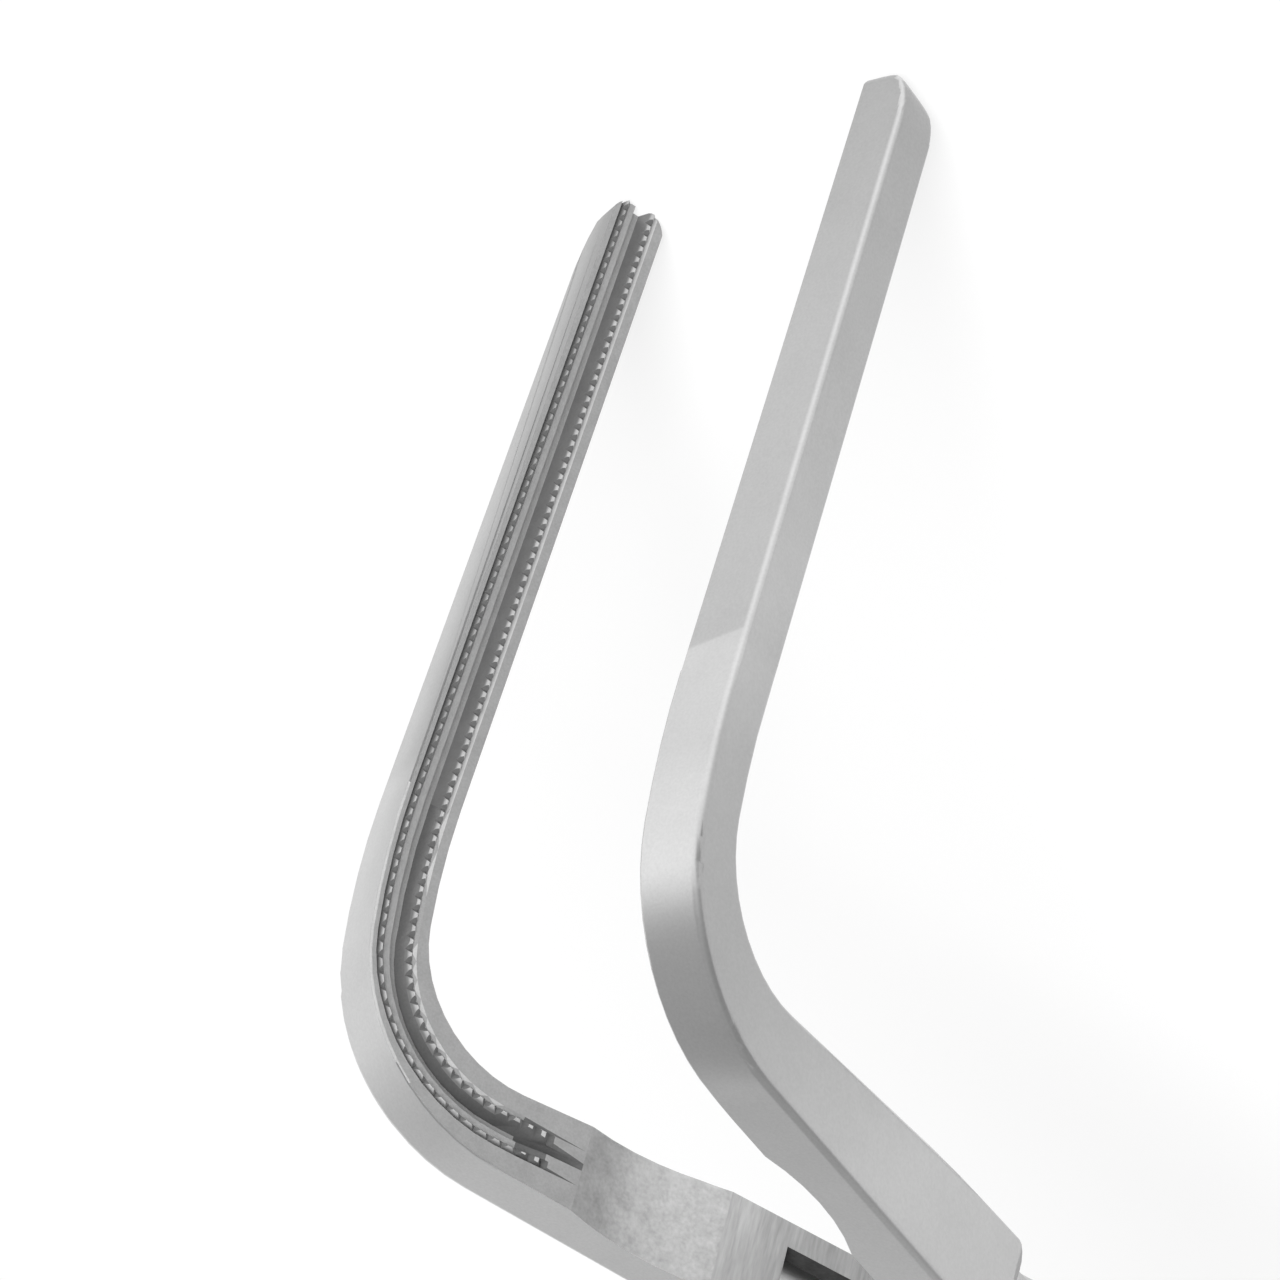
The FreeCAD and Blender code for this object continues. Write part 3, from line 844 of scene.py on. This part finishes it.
def finish_of(node, centre, normal):
    """Name of the finish of one face, from its drawn centre and normal."""
    in_slot = all(abs(value) < limit for value, limit in zip(centre, SLOT_BOX))
    if node == "box_arm" and in_slot and abs(normal.y) < LOOKS_OUT:
        return "slot"
    side = SIDES[node]
    place = arm_place(centre, side)
    along, across, depth, angle = place
    out = -normal.y * side
    if along < BODY_END or depth > FACE_DEPTH:
        return "body"
    run_out = TEETH_END < along < TEETH_END + RUN_OUT and depth > GROOVE_END_FROM
    if node == "box_arm" and run_out and abs(across) < ROWS_REACH:
        return "groove"
    if along > TEETH_END - SETBACK[node]:
        direction = heading(angle)
        return tooth_finish(node, place, out, normal.x * direction.x + normal.z * direction.y)
    if out < LOOKS_OUT:
        return "body"
    return "relief" if along > TEETH_END - SETBACK[node] - RELIEF_LENGTH else "ground_flat"


def dress(piece, node):
    finishes = jaw_finishes(node)
    piece.data.materials.clear()
    for material in finishes.values():
        piece.data.materials.append(material)
    names = list(finishes)
    back = POSES[node].inverted()
    counts = dict.fromkeys(names, 0)
    for face in piece.data.polygons:
        kind = finish_of(node, back @ face.center / MM, back.to_3x3() @ face.normal)
        face.material_index = names.index(kind)
        counts[kind] += 1
    print(piece.name, counts)


for node in SIDES:
    dress(pieces[node], node)
pieces["pivot_pin"].data.materials.clear()
PIN_LOOK = {"grey": 0.74, "rough": 0.24, "grain": (0.06, 0.2), "cloud": (0.8, 0.1)}
pin_steel = steel("pin_turned", POSES["pivot_pin"], **PIN_LOOK)
pieces["pivot_pin"].data.materials.append(pin_steel)

# %% [markdown]
# The photograph looks down at the jaws at about 42 degrees, with the camera rolled
# so far that the jaws point up in the picture. The camera is placed from a fit of
# the tooth rows and outlines, measured from the pivot.

# %% Place the camera
FROM_PIVOT = Vector((88.14, -132.04, 126.78)) * MM
RIGHT = Vector((-0.60284, -0.68110, -0.41548)).normalized()
UP = Vector((0.73964, -0.28160, -0.61134))
BACK = RIGHT.cross(UP).normalized()
UP = BACK.cross(RIGHT).normalized()
LENS = 170.9
SENSOR = 36
SHIFT = (0.0396, 0.0232)
CLIP = (0.005, 20)
camera_data = bpy.data.cameras.new("camera")
camera = bpy.data.objects.new("camera", camera_data)
bpy.context.scene.collection.objects.link(camera)
turn = Matrix((RIGHT, UP, BACK)).transposed().to_4x4()
camera.matrix_world = Matrix.Translation(PIVOT + FROM_PIVOT) @ turn
camera_data.sensor_width = SENSOR
camera_data.lens = LENS
camera_data.shift_x, camera_data.shift_y = SHIFT
camera_data.clip_start, camera_data.clip_end = CLIP
bpy.context.scene.camera = camera
print("camera looks down at", round(math.degrees(math.asin(BACK.z)), 1), "degrees")

# %% [markdown]
# The clamp rests on a white floor, and the photograph's background is pure white.
# The floor is lit like the rest, and what the camera and the steel see of it is
# brought to white with light of its own.

# %% Lay the floor
FLOOR_SIZE = 6
FLOOR_WHITE = (0.86, 0.86, 0.86, 1)
FLOOR_ROUGH = 0.9
FLOOR_GLOW = 0.75
bpy.ops.mesh.primitive_plane_add(size=FLOOR_SIZE)
floor = bpy.context.object
floor.name = "floor"
floor_material = bpy.data.materials.new("floor_white")
floor_material.use_nodes = True
tree = floor_material.node_tree
matt = tree.nodes["Principled BSDF"]
matt.inputs["Base Color"].default_value = FLOOR_WHITE
matt.inputs["Roughness"].default_value = FLOOR_ROUGH
glow = add(tree, "Emission")
glow.inputs["Strength"].default_value = 1.0
path = add(tree, "LightPath")
seen = maths(tree, "MAXIMUM", path.outputs["Is Camera Ray"], path.outputs["Is Glossy Ray"])
mix = add(tree, "MixShader")
tree.links.new(maths(tree, "MULTIPLY", seen, FLOOR_GLOW), mix.inputs[0])
tree.links.new(matt.outputs[0], mix.inputs[1])
tree.links.new(glow.outputs[0], mix.inputs[2])
tree.links.new(mix.outputs[0], tree.nodes["Material Output"].inputs["Surface"])
floor.data.materials.append(floor_material)
print("floor", FLOOR_SIZE, "m wide")

# %% [markdown]
# Steel shows its surroundings more than its own colour. In the photograph a white
# sweep stands low on the far side and the room above it is darker: the bend of
# the near arm turns from the one to the other and goes from white to grey. The
# world is that room, bright near the horizon and darker overhead.

# %% Light the room
SWEEP_TOP = math.sin(math.radians(20))
ROOM_FROM = math.sin(math.radians(46))
OVERHEAD = 0.36
NEAR_SIDE = 0.5
SWEEP_SIDE = Vector((0.8, 0.6, 0))
SIDE_FADE = (-0.5, 0.75)
world = bpy.data.worlds.new("studio")
bpy.context.scene.world = world
world.use_nodes = True
tree = world.node_tree
background = tree.nodes["Background"]
outlook = add(tree, "TexCoord")
towards = add(tree, "VectorMath", operation="DOT_PRODUCT")
towards.inputs[1].default_value = SWEEP_SIDE
tree.links.new(outlook.outputs["Generated"], towards.inputs[0])
side_level = ramp(tree, towards.outputs["Value"], *SIDE_FADE, NEAR_SIDE, 1.0)
height = axis_value(tree, outlook.outputs["Generated"], "Z")
level = ramp(tree, height, SWEEP_TOP, ROOM_FROM, side_level, OVERHEAD)
path = add(tree, "LightPath")
shown = maths(tree, "MAXIMUM", level, path.outputs["Is Camera Ray"])
tree.links.new(shown, background.inputs["Strength"])
background.inputs["Color"].default_value = (1, 1, 1, 1)
print("room light: sweep 1.0, near side", NEAR_SIDE, "and overhead", OVERHEAD)

# %% [markdown]
# One soft lamp, half a metre wide, hangs behind the camera and above it, and lays a
# soft shadow on the floor. The steel doesn't mirror it, because its reflection
# would draw a white streak along the rounded back of the bend, where the
# photograph has none.

# %% Hang the lamp
KEY_PLACE = (0.42, -0.5, 0.75)
KEY_AIM = (0.02, 0, 0.02)
KEY_SIZE = 0.5
KEY_POWER = 12


def lamp(name, place, aim, size, power):
    data = bpy.data.lights.new(name, "AREA")
    data.shape = "SQUARE"
    data.size = size
    data.energy = power
    light = bpy.data.objects.new(name, data)
    bpy.context.scene.collection.objects.link(light)
    light.location = place
    light.rotation_euler = (Vector(aim) - Vector(place)).to_track_quat("-Z", "Y").to_euler()
    return light


key = lamp("key", KEY_PLACE, KEY_AIM, KEY_SIZE, KEY_POWER)
key.visible_glossy = False
print("lamp of", KEY_POWER, "W")
bpy.context.scene.view_settings.view_transform = "Standard"
